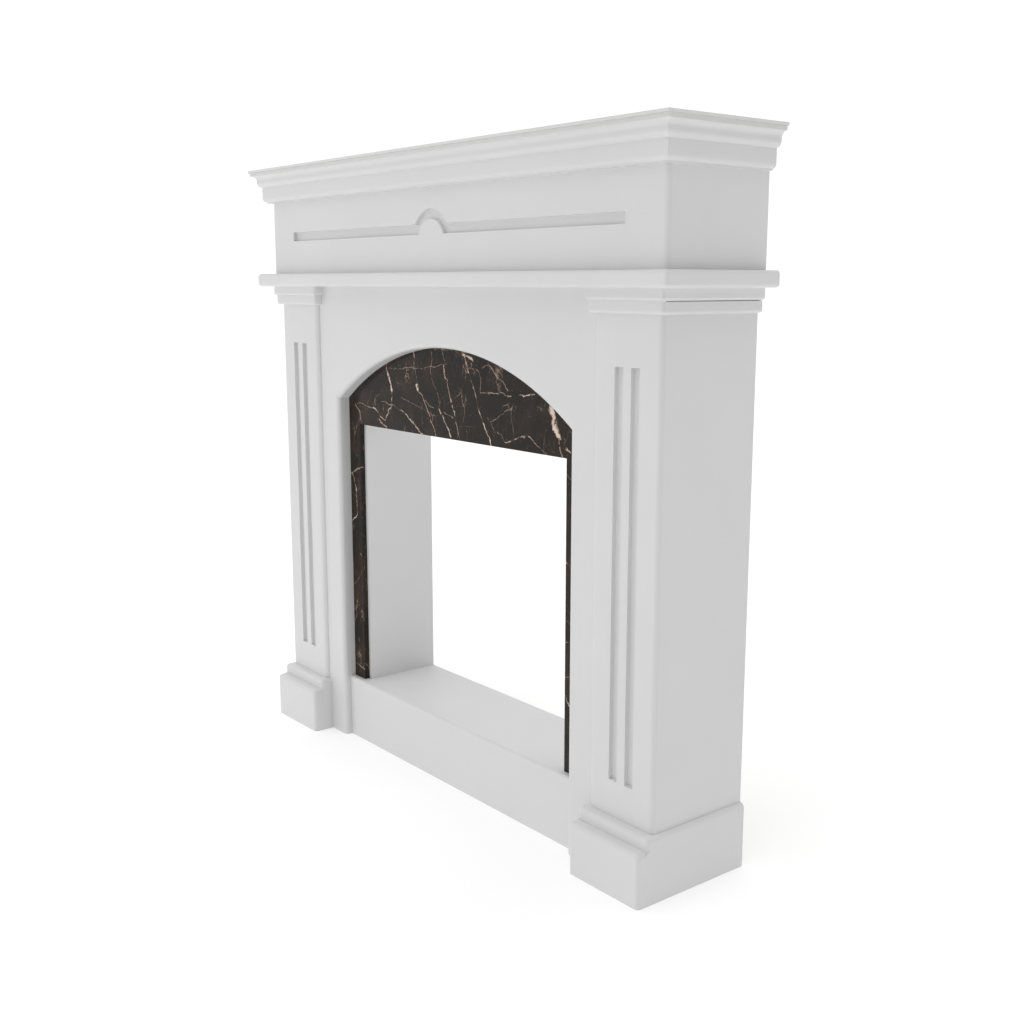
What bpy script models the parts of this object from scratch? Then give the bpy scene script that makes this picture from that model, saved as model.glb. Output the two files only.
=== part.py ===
"""A fireplace mantelpiece in painted board, with an arched opening and a marble facing.

Metres, +Z up. The origin is on the floor, in the middle of the crown's width and depth.
-Y is the front and +Y is the wall that the mantelpiece stands against. Left and right are
as seen from the front, so right is +X.
The pilasters, the plinths and the frieze are boxes made of boards and open at the back.
"""
import math

import bmesh
import bpy
from mathutils import Matrix, Vector

# Overall size. The crown is the widest and deepest part.
HEIGHT = 1.3208
CROWN_WIDTH = 1.3716
CROWN_DEPTH = 0.2794

# Joint between two pieces, reach of a cutter past what it cuts, and how close a corner is to a plane
GAP = 0.0003
OVERCUT = 0.01
TOUCH = 0.00001

# Boards and the number of flats around a rounded edge
BOARD = 0.018
THIN_BOARD = 0.015
ROUND_STEPS = 6

# Crown moulding, from its top board down: lip, cove, ovolo, fascia, bullnose and drip
CROWN_HEIGHT = 0.0747
TOP_BOARD = 0.0119
LIP = 0.0056
LIP_STEP = 0.0036
LIP_ROUND = 0.0012
LIP_STEPS = 2
COVE_FILLET = 0.0008
COVE_RADIUS = 0.0114
NECK = 0.0038
OVOLO_RADIUS = 0.0114
FASCIA_STEP = 0.0241
BULLNOSE_RADIUS = 0.0089
DRIP_STEP = 0.0318
DRIP = 0.0024
CROWN_STEPS = 8

# Frieze, set back under the crown, and the groove routed in it, which humps over the middle
CROWN_SIDE_OVERHANG = 0.0379
CROWN_FRONT_OVERHANG = 0.0419
FRIEZE_HEIGHT = 0.1621
FRIEZE_ROUND = 0.0064
GROOVE_WIDTH = 0.0195
GROOVE_DEPTH = 0.0085
GROOVE_END = 0.0970
GROOVE_RISE = 0.0831
HUMP_RADIUS = 0.0653
HUMP_DROP = 0.0263
HUMP_STEPS = 20

# Mantel shelf, which stands out under the frieze
SHELF_SIDE_OVERHANG = 0.0300
SHELF_FRONT_OVERHANG = 0.0307
SHELF_THICKNESS = 0.0292
SHELF_ROUND = 0.0072

# Capital boards, which step out from the pilaster on its front and both sides
UPPER_CAPITAL_STEP = 0.0147
UPPER_CAPITAL_THICKNESS = 0.0203
LOWER_CAPITAL_STEP = 0.0094
LOWER_CAPITAL_THICKNESS = 0.0216
CAPITAL_ROUND = 0.0056
OPEN_JOINT = 0.0014
OPEN_JOINT_DEPTH = 0.004

# Pilasters, set back from the frieze, and their flutes
PILASTER_SIDE_SETBACK = 0.0147
PILASTER_FRONT_SETBACK = 0.0094
PILASTER_WIDTH = 0.1620
PILASTER_ROUND = 0.0068
FLUTE_COUNT = 2
FLUTE_WIDTH = 0.0200
FLUTE_DEPTH = 0.0085
FLUTE_SPACING = 0.0412
FLUTE_TOP_MARGIN = 0.0881
FLUTE_FOOT_MARGIN = 0.0671

# Plinths: a block that stands out from the pilaster, with a cap board set back behind its ledge
PLINTH_FRONT_STEP = 0.0411
PLINTH_SIDE_STEP = 0.0094
PLINTH_BLOCK_HEIGHT = 0.1003
PLINTH_LEDGE = 0.0215
PLINTH_CAP_THICKNESS = 0.0237
PLINTH_ROUND = 0.0068

# Arched panel between the pilasters: the widths left beside its opening and the height above it
PANEL_SETBACK = 0.0081
PANEL_THICKNESS = 0.0297
ARCH_STILE = 0.0709
ARCH_HEAD = 0.1213
ARCH_RISE = 0.1283
ARCH_ROUND = 0.0095
ARCH_STEPS = 40

# Marble facing behind the arch: what it hides behind the panel, and what shows beside its opening
MARBLE_THICKNESS = 0.0127
MARBLE_OVERLAP = 0.025
MARBLE_STILE = 0.0427
MARBLE_LINTEL = 0.0579

# Hearth, and the boards that line the firebox and stand in past the marble's edge
HEARTH_HEIGHT = 0.1433
RISER_SETBACK = 0.0160
RISER_ROUND = 0.005
LINING_STEP = 0.0089

# Paint and stone
PAINT_COLOUR = (0.74, 0.74, 0.73, 1.0)
PAINT_ROUGHNESS = 0.45
MARBLE_COLOUR = (0.030, 0.024, 0.021, 1.0)
MARBLE_ROUGHNESS = 0.18

# Axes, and the two sides of the mantelpiece
X, Y, Z = range(3)
SIDES = (("left", -1), ("right", 1))

# Heights worked out from the sizes above
SHELF_TOP = HEIGHT - CROWN_HEIGHT - FRIEZE_HEIGHT
SHELF_UNDERSIDE = SHELF_TOP - SHELF_THICKNESS
UPPER_CAPITAL_UNDERSIDE = SHELF_UNDERSIDE - UPPER_CAPITAL_THICKNESS
LOWER_CAPITAL_UNDERSIDE = UPPER_CAPITAL_UNDERSIDE - LOWER_CAPITAL_THICKNESS
PLINTH_TOP = PLINTH_BLOCK_HEIGHT + PLINTH_CAP_THICKNESS
CROWN_UNDERSIDE = HEIGHT - CROWN_HEIGHT
TOP_BOARD_UNDERSIDE = HEIGHT - TOP_BOARD
ARCH_APEX = SHELF_UNDERSIDE - ARCH_HEAD
ARCH_SPRING = ARCH_APEX - ARCH_RISE
MARBLE_OPENING_TOP = ARCH_SPRING - MARBLE_LINTEL

# Depths, worked out from the wall at the back to each piece's front
WALL = CROWN_DEPTH / 2
CROWN_FRONT = -WALL
FRIEZE_FRONT = CROWN_FRONT + CROWN_FRONT_OVERHANG
SHELF_FRONT = FRIEZE_FRONT - SHELF_FRONT_OVERHANG
PILASTER_FRONT = FRIEZE_FRONT + PILASTER_FRONT_SETBACK
PLINTH_FRONT = PILASTER_FRONT - PLINTH_FRONT_STEP
PLINTH_CAP_FRONT = PLINTH_FRONT + PLINTH_LEDGE
PANEL_FRONT = PILASTER_FRONT + PANEL_SETBACK
MARBLE_FRONT = PANEL_FRONT + PANEL_THICKNESS
RISER_FRONT = PANEL_FRONT + RISER_SETBACK
FIREBOX_FRONT = MARBLE_FRONT + MARBLE_THICKNESS

# Distances from the middle to each piece's side, worked out from the crown inwards
CROWN_SIDE = CROWN_WIDTH / 2
FRIEZE_SIDE = CROWN_SIDE - CROWN_SIDE_OVERHANG
SHELF_SIDE = FRIEZE_SIDE + SHELF_SIDE_OVERHANG
PILASTER_OUTER = FRIEZE_SIDE - PILASTER_SIDE_SETBACK
PILASTER_INNER = PILASTER_OUTER - PILASTER_WIDTH
PLINTH_OUTER = PILASTER_OUTER + PLINTH_SIDE_STEP
PLINTH_INNER = PILASTER_INNER - PLINTH_SIDE_STEP
ARCH_SIDE = PILASTER_INNER - ARCH_STILE
MARBLE_SIDE = ARCH_SIDE - MARBLE_STILE
FIREBOX_SIDE = MARBLE_SIDE - LINING_STEP


def clear_scene():
    """Removes every object, so that the model is made afresh."""
    for item in list(bpy.data.objects):
        bpy.data.objects.remove(item, do_unlink=True)


def make_material(name, colour, roughness):
    """A plain Principled material."""
    material = bpy.data.materials.new(name)
    material.use_nodes = True
    shader = material.node_tree.nodes["Principled BSDF"]
    shader.inputs["Base Color"].default_value = colour
    shader.inputs["Roughness"].default_value = roughness
    shader.inputs["Metallic"].default_value = 0.0
    material.diffuse_color = colour
    return material


def add_object(name, shape, material=None):
    """Puts a bmesh into the scene as a named object and frees it."""
    bmesh.ops.recalc_face_normals(shape, faces=shape.faces)
    mesh = bpy.data.meshes.new(name)
    shape.to_mesh(mesh)
    shape.free()
    mesh.shade_smooth()
    mesh.set_sharp_from_angle(angle=math.radians(35))
    item = bpy.data.objects.new(name, mesh)
    bpy.context.collection.objects.link(item)
    if material is not None:
        mesh.materials.append(material)
    return item


def carve(item, name, shape):
    """Cuts a shape out of an object, with a hidden cutter and a Boolean modifier."""
    cutter = add_object(name, shape)
    cutter.hide_render = True
    cutter.display_type = "WIRE"
    modifier = item.modifiers.new(name, "BOOLEAN")
    modifier.operation = "DIFFERENCE"
    modifier.solver = "EXACT"
    modifier.object = cutter


def block(across, deep, high):
    """A box, from its two limits along X, Y and Z. The limits may come in either order."""
    limits = (across, deep, high)
    size = [abs(end - start) for start, end in limits]
    centre = [(start + end) / 2 for start, end in limits]
    shape = bmesh.new()
    bmesh.ops.create_cube(shape, size=1.0, matrix=Matrix.LocRotScale(Vector(centre), None, Vector(size)))
    return shape


def prism(outline, axis, start, end):
    """Extrudes an outline along an axis. Its points are on the other two axes, in X, Y, Z order."""
    shape = bmesh.new()
    corners = []
    for point in outline:
        place = list(point)
        place.insert(axis, start)
        corners.append(shape.verts.new(place))
    face = shape.faces.new(corners)
    grown = bmesh.ops.extrude_face_region(shape, geom=[face])
    moved = [part for part in grown["geom"] if isinstance(part, bmesh.types.BMVert)]
    travel = Vector((0.0, 0.0, 0.0))
    travel[axis] = end - start
    bmesh.ops.translate(shape, verts=moved, vec=travel)
    bmesh.ops.recalc_face_normals(shape, faces=shape.faces)
    return shape


def edges_on(shape, *planes):
    """The edges that lie on every one of the planes, each given as an axis and a value."""
    return [
        edge for edge in shape.edges
        if all(abs(end.co[axis] - value) < TOUCH for end in edge.verts for axis, value in planes)
    ]


def round_edges(shape, edges, radius, steps=ROUND_STEPS):
    """Rounds edges to a radius."""
    bmesh.ops.bevel(
        shape, geom=edges, offset=radius, offset_type="OFFSET", segments=steps,
        profile=0.5, affect="EDGES", clamp_overlap=True, material=-1,
    )


def cut_off(shape, point, normal):
    """Cuts away what lies past a plane, on its normal's side, and closes the cut."""
    everything = shape.verts[:] + shape.edges[:] + shape.faces[:]
    bmesh.ops.bisect_plane(
        shape, geom=everything, dist=TOUCH, plane_co=point, plane_no=normal, clear_outer=True,
    )
    bmesh.ops.holes_fill(shape, edges=shape.edges, sides=0)


def arc(centre, radius, start, end, steps):
    """Points on an arc, from one angle to another in radians."""
    points = []
    for step in range(steps + 1):
        angle = start + (end - start) * step / steps
        points.append((centre[0] + radius * math.cos(angle), centre[1] + radius * math.sin(angle)))
    return points


def crown_profile(backing):
    """The crown moulding's section, as points of distance in from the lip and height."""
    cove_top = TOP_BOARD_UNDERSIDE - GAP - COVE_FILLET
    cove_centre = (LIP_STEP, cove_top - COVE_RADIUS)
    neck_in = LIP_STEP + COVE_RADIUS
    ovolo_centre = (neck_in + OVOLO_RADIUS, cove_centre[1] - NECK)
    ovolo_sweep = math.acos((ovolo_centre[0] - FASCIA_STEP) / OVOLO_RADIUS)
    bullnose_sweep = math.acos((FASCIA_STEP + BULLNOSE_RADIUS - DRIP_STEP) / BULLNOSE_RADIUS)
    drip_top = CROWN_UNDERSIDE + DRIP
    bullnose_centre = (FASCIA_STEP + BULLNOSE_RADIUS, drip_top + BULLNOSE_RADIUS * math.sin(bullnose_sweep))
    points = [(LIP_STEP, TOP_BOARD_UNDERSIDE - GAP)]
    points += arc(cove_centre, COVE_RADIUS, math.pi / 2, 0.0, CROWN_STEPS)
    points += arc(ovolo_centre, OVOLO_RADIUS, math.pi, math.pi + ovolo_sweep, CROWN_STEPS)
    points += arc(bullnose_centre, BULLNOSE_RADIUS, math.pi, math.pi + bullnose_sweep, CROWN_STEPS)
    points += [(DRIP_STEP, CROWN_UNDERSIDE), (backing, CROWN_UNDERSIDE), (backing, TOP_BOARD_UNDERSIDE - GAP)]
    return points


def add_top_board(paint):
    """The board that closes the top, with a lip above a small rebate on its front and ends."""
    board = block((-CROWN_SIDE, CROWN_SIDE), (CROWN_FRONT, WALL), (TOP_BOARD_UNDERSIDE, HEIGHT))
    lip_edges = edges_on(board, (Y, CROWN_FRONT), (Z, HEIGHT))
    for _, side in SIDES:
        lip_edges += edges_on(board, (X, side * CROWN_SIDE), (Z, HEIGHT))
    round_edges(board, lip_edges, LIP_ROUND, LIP_STEPS)
    item = add_object("top_board", board, paint)
    inner = CROWN_SIDE - LIP_STEP
    outer = CROWN_SIDE + OVERCUT
    outline = [
        (-outer, WALL + OVERCUT), (-outer, CROWN_FRONT - OVERCUT),
        (outer, CROWN_FRONT - OVERCUT), (outer, WALL + OVERCUT),
        (inner, WALL + OVERCUT), (inner, CROWN_FRONT + LIP_STEP),
        (-inner, CROWN_FRONT + LIP_STEP), (-inner, WALL + OVERCUT),
    ]
    carve(item, "top_board_rebate", prism(outline, Z, TOP_BOARD_UNDERSIDE - OVERCUT, HEIGHT - LIP))


def add_crown(paint):
    """The crown moulding: a front run and two returns, mitred at the corners."""
    half_gap = GAP / 2
    section = crown_profile(CROWN_FRONT_OVERHANG - GAP)
    outline = [(CROWN_FRONT + inward, height) for inward, height in section]
    front = prism(outline, X, -CROWN_SIDE, CROWN_SIDE)
    for _, side in SIDES:
        outward = Vector((side, 1.0, 0.0)).normalized()
        cut_off(front, Vector((side * CROWN_SIDE, CROWN_FRONT, 0.0)) - outward * half_gap, outward)
    add_object("crown_front", front, paint)
    section = crown_profile(CROWN_SIDE_OVERHANG - GAP)
    for name, side in SIDES:
        outline = [(side * (CROWN_SIDE - inward), height) for inward, height in section]
        run = prism(outline, Y, CROWN_FRONT, WALL)
        forward = Vector((-side, -1.0, 0.0)).normalized()
        cut_off(run, Vector((side * CROWN_SIDE, CROWN_FRONT, 0.0)) - forward * half_gap, forward)
        add_object("crown_return_" + name, run, paint)


def groove_outline():
    """The frieze's groove: straight runs that meet a half ring over the middle."""
    end = FRIEZE_SIDE - GROOVE_END
    centre = SHELF_TOP + GROOVE_RISE
    low = centre - GROOVE_WIDTH / 2
    high = centre + GROOVE_WIDTH / 2
    hump = (0.0, centre - HUMP_DROP)
    inner_radius = HUMP_RADIUS - GROOVE_WIDTH
    outer_start = math.asin((high - hump[1]) / HUMP_RADIUS)
    inner_start = math.asin((low - hump[1]) / inner_radius)
    points = [(-end, low), (-end, high)]
    points += arc(hump, HUMP_RADIUS, math.pi - outer_start, outer_start, HUMP_STEPS)
    points += [(end, high), (end, low)]
    points += arc(hump, inner_radius, inner_start, math.pi - inner_start, HUMP_STEPS)
    return points


def add_frieze(paint):
    """The frieze box: a grooved front board with rounded corners, and two side boards."""
    top = TOP_BOARD_UNDERSIDE - GAP
    board = block((-FRIEZE_SIDE, FRIEZE_SIDE), (FRIEZE_FRONT, FRIEZE_FRONT + BOARD), (SHELF_TOP, top))
    corners = []
    for _, side in SIDES:
        corners += edges_on(board, (X, side * FRIEZE_SIDE), (Y, FRIEZE_FRONT))
    round_edges(board, corners, FRIEZE_ROUND)
    item = add_object("frieze_front", board, paint)
    carve(item, "frieze_groove", prism(groove_outline(), Y, FRIEZE_FRONT - OVERCUT, FRIEZE_FRONT + GROOVE_DEPTH))
    for name, side in SIDES:
        across = (side * (FRIEZE_SIDE - BOARD), side * FRIEZE_SIDE)
        board = block(across, (FRIEZE_FRONT + BOARD + GAP, WALL), (SHELF_TOP, top))
        add_object("frieze_side_" + name, board, paint)


def add_shelf(paint):
    """The mantel shelf, with rounded edges along its front and ends."""
    top = SHELF_TOP - GAP
    shelf = block((-SHELF_SIDE, SHELF_SIDE), (SHELF_FRONT, WALL), (SHELF_UNDERSIDE, top))
    rounded = []
    for height in (SHELF_UNDERSIDE, top):
        rounded += edges_on(shelf, (Y, SHELF_FRONT), (Z, height))
        for _, side in SIDES:
            rounded += edges_on(shelf, (X, side * SHELF_SIDE), (Z, height))
    for _, side in SIDES:
        rounded += edges_on(shelf, (X, side * SHELF_SIDE), (Y, SHELF_FRONT))
    round_edges(shelf, rounded, SHELF_ROUND)
    add_object("mantel_shelf", shelf, paint)


def notched_board(side, step, face, low, high, rounded_height, radius):
    """A board that oversails a pilaster by a step and is notched round the arched panel's edge.

    Its front face is at face, and the edges at rounded_height are rounded with its corners.
    """
    inner = side * (PILASTER_INNER - step)
    outer = side * (PILASTER_OUTER + step)
    notch = side * PILASTER_INNER
    shoulder = PANEL_FRONT - GAP
    outline = [(inner, face), (outer, face), (outer, WALL), (notch, WALL), (notch, shoulder), (inner, shoulder)]
    board = prism(outline, Z, low, high)
    rounded = edges_on(board, (Y, face), (Z, rounded_height))
    for edge in (inner, outer):
        rounded += edges_on(board, (X, edge), (Z, rounded_height))
        rounded += edges_on(board, (X, edge), (Y, face))
    round_edges(board, rounded, radius)
    return board


def add_capitals(paint):
    """Two boards at the head of each pilaster, with an open joint between them along the outer side."""
    for name, side in SIDES:
        face = PILASTER_FRONT - UPPER_CAPITAL_STEP
        low = UPPER_CAPITAL_UNDERSIDE
        high = SHELF_UNDERSIDE - GAP
        upper = notched_board(side, UPPER_CAPITAL_STEP, face, low, high, low, CAPITAL_ROUND)
        add_object("capital_upper_" + name, upper, paint)
        face = PILASTER_FRONT - LOWER_CAPITAL_STEP
        low = LOWER_CAPITAL_UNDERSIDE
        high = UPPER_CAPITAL_UNDERSIDE - GAP
        lower = notched_board(side, LOWER_CAPITAL_STEP, face, low, high, low, CAPITAL_ROUND)
        item = add_object("capital_lower_" + name, lower, paint)
        outer = PILASTER_OUTER + LOWER_CAPITAL_STEP
        across = (side * (outer - OPEN_JOINT_DEPTH), side * (outer + OVERCUT))
        deep = (face + CAPITAL_ROUND, WALL + OVERCUT)
        joint = block(across, deep, (high - OPEN_JOINT, high + OVERCUT))
        carve(item, "capital_open_joint_" + name, joint)


def add_pilasters(paint):
    """Each pilaster is a box: a fluted front board with rounded corners, and two side boards."""
    low = PLINTH_TOP
    high = LOWER_CAPITAL_UNDERSIDE - GAP
    middle = (PILASTER_INNER + PILASTER_OUTER) / 2
    flute_high = (PLINTH_TOP + FLUTE_FOOT_MARGIN, LOWER_CAPITAL_UNDERSIDE - FLUTE_TOP_MARGIN)
    for name, side in SIDES:
        inner = side * PILASTER_INNER
        outer = side * PILASTER_OUTER
        board = block((inner, outer), (PILASTER_FRONT, PILASTER_FRONT + BOARD), (low, high))
        corners = edges_on(board, (X, inner), (Y, PILASTER_FRONT)) + edges_on(board, (X, outer), (Y, PILASTER_FRONT))
        round_edges(board, corners, PILASTER_ROUND)
        item = add_object("pilaster_front_" + name, board, paint)
        for flute in range(FLUTE_COUNT):
            centre = side * middle + (flute - (FLUTE_COUNT - 1) / 2) * FLUTE_SPACING
            across = (centre - FLUTE_WIDTH / 2, centre + FLUTE_WIDTH / 2)
            deep = (PILASTER_FRONT - OVERCUT, PILASTER_FRONT + FLUTE_DEPTH)
            carve(item, f"flute_{name}_{flute + 1}", block(across, deep, flute_high))
        deep = (PILASTER_FRONT + BOARD + GAP, WALL)
        outer_side = block((outer - side * THIN_BOARD, outer), deep, (low, high))
        add_object("pilaster_outer_side_" + name, outer_side, paint)
        inner_side = block((inner, inner + side * THIN_BOARD), deep, (low, high))
        add_object("pilaster_inner_side_" + name, inner_side, paint)


def add_plinths(paint):
    """Each plinth is a box under a cap board: a thick front board with a ledge, and two side boards."""
    for name, side in SIDES:
        inner = side * PLINTH_INNER
        outer = side * PLINTH_OUTER
        front = block((inner, outer), (PLINTH_FRONT, PLINTH_CAP_FRONT - GAP), (0.0, PLINTH_BLOCK_HEIGHT))
        rounded = edges_on(front, (Y, PLINTH_FRONT), (Z, PLINTH_BLOCK_HEIGHT))
        for edge in (inner, outer):
            rounded += edges_on(front, (X, edge), (Z, PLINTH_BLOCK_HEIGHT))
            rounded += edges_on(front, (X, edge), (Y, PLINTH_FRONT))
        round_edges(front, rounded, PLINTH_ROUND)
        add_object("plinth_front_" + name, front, paint)
        high = PLINTH_BLOCK_HEIGHT - GAP
        outer_side = block((outer - side * BOARD, outer), (PLINTH_CAP_FRONT, WALL), (0.0, high))
        add_object("plinth_outer_side_" + name, outer_side, paint)
        shoulder = PANEL_FRONT - GAP
        rebate = side * PILASTER_INNER
        thick = inner + side * BOARD
        outline = [
            (inner, PLINTH_CAP_FRONT), (thick, PLINTH_CAP_FRONT), (thick, WALL),
            (rebate, WALL), (rebate, shoulder), (inner, shoulder),
        ]
        add_object("plinth_inner_side_" + name, prism(outline, Z, 0.0, high), paint)
        cap_high = PLINTH_TOP - GAP
        cap = notched_board(
            side, PLINTH_SIDE_STEP, PLINTH_CAP_FRONT, PLINTH_BLOCK_HEIGHT, cap_high, cap_high, PLINTH_ROUND,
        )
        add_object("plinth_cap_" + name, cap, paint)


def add_arch_panel(paint):
    """The panel between the pilasters, with an arched opening down to the floor."""
    half = PILASTER_INNER - GAP
    radius = (ARCH_SIDE ** 2 + ARCH_RISE ** 2) / (2 * ARCH_RISE)
    centre = (0.0, ARCH_APEX - radius)
    spring = math.asin((ARCH_SPRING - centre[1]) / radius)
    top = SHELF_UNDERSIDE - GAP
    outline = [(-half, 0.0), (-half, top), (half, top), (half, 0.0), (ARCH_SIDE, 0.0)]
    outline += arc(centre, radius, spring, math.pi - spring, ARCH_STEPS)
    outline += [(-ARCH_SIDE, 0.0)]
    panel = prism(outline, Y, PANEL_FRONT, MARBLE_FRONT - GAP)
    rounded = [
        edge for edge in edges_on(panel, (Y, PANEL_FRONT))
        if all(abs(end.co.x) < ARCH_SIDE + TOUCH and end.co.z < ARCH_APEX + TOUCH for end in edge.verts)
    ]
    round_edges(panel, rounded, ARCH_ROUND)
    add_object("arch_panel", panel, paint)


def add_marble_facing(stone):
    """The slab behind the arch, cut square for the firebox, standing on the hearth's riser."""
    outer = ARCH_SIDE + MARBLE_OVERLAP
    top = ARCH_APEX + MARBLE_OVERLAP
    foot = HEARTH_HEIGHT + GAP
    outline = [
        (-outer, foot), (-outer, top), (outer, top), (outer, foot), (MARBLE_SIDE, foot),
        (MARBLE_SIDE, MARBLE_OPENING_TOP), (-MARBLE_SIDE, MARBLE_OPENING_TOP), (-MARBLE_SIDE, foot),
    ]
    add_object("marble_facing", prism(outline, Y, MARBLE_FRONT, FIREBOX_FRONT - GAP), stone)


def add_hearth(paint):
    """The riser across the front of the hearth and the board behind it."""
    half = ARCH_SIDE - GAP
    riser = block((-half, half), (RISER_FRONT, FIREBOX_FRONT - GAP), (0.0, HEARTH_HEIGHT))
    round_edges(riser, edges_on(riser, (Y, RISER_FRONT), (Z, HEARTH_HEIGHT)), RISER_ROUND)
    add_object("hearth_riser", riser, paint)
    half = FIREBOX_SIDE - GAP
    board = block((-half, half), (FIREBOX_FRONT, WALL), (HEARTH_HEIGHT - THIN_BOARD, HEARTH_HEIGHT))
    add_object("hearth_board", board, paint)


def add_firebox(paint):
    """The side boards that line the firebox from the floor up, and the board across their heads."""
    outer = FIREBOX_SIDE + THIN_BOARD
    for name, side in SIDES:
        across = (side * FIREBOX_SIDE, side * outer)
        board = block(across, (FIREBOX_FRONT, WALL), (0.0, MARBLE_OPENING_TOP - GAP))
        add_object("firebox_side_" + name, board, paint)
    high = (MARBLE_OPENING_TOP, MARBLE_OPENING_TOP + THIN_BOARD)
    add_object("firebox_head", block((-outer, outer), (FIREBOX_FRONT, WALL), high), paint)


def main():
    clear_scene()
    paint = make_material("white_paint", PAINT_COLOUR, PAINT_ROUGHNESS)
    stone = make_material("dark_marble", MARBLE_COLOUR, MARBLE_ROUGHNESS)
    add_top_board(paint)
    add_crown(paint)
    add_frieze(paint)
    add_shelf(paint)
    add_capitals(paint)
    add_pilasters(paint)
    add_plinths(paint)
    add_arch_panel(paint)
    add_marble_facing(stone)
    add_hearth(paint)
    add_firebox(paint)


main()
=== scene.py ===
"""Dresses a white painted fireplace mantelpiece: fine mouldings, satin paint and dark veined marble.

The file is laid out as a Blender add-on and is run as a script. Metres, +Z up, -Y is the front.
Left and right are as seen from the front, so right is +X.
"""
import math

import bmesh
import bpy
from bpy.props import FloatProperty, FloatVectorProperty, IntProperty, PointerProperty
from bpy.types import Operator, Panel, PropertyGroup
from mathutils import Matrix, Vector


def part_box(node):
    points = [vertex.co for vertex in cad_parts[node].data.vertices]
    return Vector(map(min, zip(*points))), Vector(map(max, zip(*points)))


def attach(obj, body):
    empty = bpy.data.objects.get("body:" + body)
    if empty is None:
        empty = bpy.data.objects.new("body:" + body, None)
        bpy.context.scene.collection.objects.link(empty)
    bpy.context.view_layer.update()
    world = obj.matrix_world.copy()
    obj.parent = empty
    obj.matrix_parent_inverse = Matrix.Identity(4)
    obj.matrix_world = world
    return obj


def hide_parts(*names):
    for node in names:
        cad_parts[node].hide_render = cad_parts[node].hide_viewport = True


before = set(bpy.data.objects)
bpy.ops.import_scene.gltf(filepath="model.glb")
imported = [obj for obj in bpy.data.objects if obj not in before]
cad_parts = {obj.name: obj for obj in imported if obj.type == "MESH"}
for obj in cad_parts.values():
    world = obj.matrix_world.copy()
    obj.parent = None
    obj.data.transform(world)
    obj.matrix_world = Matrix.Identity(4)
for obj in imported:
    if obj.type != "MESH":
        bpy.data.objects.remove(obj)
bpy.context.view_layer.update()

bl_info = {
    "name": "Fireplace mantelpiece",
    "version": (1, 0, 0),
    "blender": (4, 5, 0),
    "location": "View3D > Sidebar > Mantelpiece",
    "description": "Models and finishes a painted mantelpiece around its packed frame",
    "category": "Object",
}

# Axes, and the two sides of the mantelpiece
X, Y, Z = range(3)
SIDES = (("left", -1.0), ("right", 1.0))

# How far a cutter reaches past what it cuts
OVERCUT = 0.01

# How near a corner lies to a plane that it is on, and how near two corners are merged
TOUCH = 0.00001
MERGE = TOUCH / 10

# The angle that reads as an edge, and how squarely a face looks in a direction that it faces
EDGE_ANGLE = math.radians(30)
SQUARE_ON = 0.99

# The one body that every piece rides on
BODY = "root"

# Flats of the small rounds in a router's cut, and along the marble's arris
ROUTED_STEPS = 4
ARRIS_STEPS = 3

# Crown moulding's section, from the top board down
LIP = 0.0056
LIP_STEP = 0.0036
COVE_FILLET = 0.0008
NECK = 0.0038
FASCIA_STEP = 0.0241
DRIP_STEP = 0.0318
DRIP = 0.0024

# Groove in the frieze, which humps over the middle
GROOVE_WIDTH = 0.0195
GROOVE_END = 0.0970
GROOVE_RISE = 0.0831
HUMP_RADIUS = 0.0653
HUMP_DROP = 0.0263

# Flutes in the pilasters
FLUTE_COUNT = 2
FLUTE_TOP_MARGIN = 0.0881
FLUTE_FOOT_MARGIN = 0.0671

# Open joint between the two capital boards, along the outer side
OPEN_JOINT = 0.0014
OPEN_JOINT_DEPTH = 0.0040

# Arched opening
ARCH_RISE = 0.1283

# Marble: how far its veins wander, coarse and fine, and the two nets of hair veins
BEND_SCALE = 22.0
BEND_REACH = 0.024
JITTER_SCALE = 150.0
JITTER_REACH = 0.0058
NET_SCALE = 24.0
CRACKLE_SCALE = 70.0
HAIR_LEAN = math.radians(24)
HAIR_STRETCH = 0.42
STONE_WAVES = 0.0003

# Camera, where the photograph was taken from
CAMERA_PLACE = (2.0405, -1.5196, 1.0626)
CAMERA_DIP = 0.1836
CAMERA_TURN = 0.8977
CAMERA_LENS = 43.35
CAMERA_SENSOR = 36.0

# Floor, which is far wider than the view, and the white behind it
FLOOR_RADIUS = 30.0
FLOOR_FLATS = 96
BACKDROP = 1.05

# Soft lamp on the left
KEY_PLACE = (-2.0, -1.5, 0.9)
KEY_AIM = (0.0, 0.0, 0.6)
KEY_SIZE = 1.0

# Light from the surroundings: the way it comes from, and its strength. The focus narrows each.
SKY_FOCUS = 3.0
SKY = (
    ((-1, 0, 0), 1.20),
    ((0, 1, 0), 1.74),
    ((0, 0, 1), 0.89),
    ((0, -1, 1), 0.84),
    ((1, 0, 1), 0.14),
    ((0, 1, 1), 0.15),
)

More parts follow.
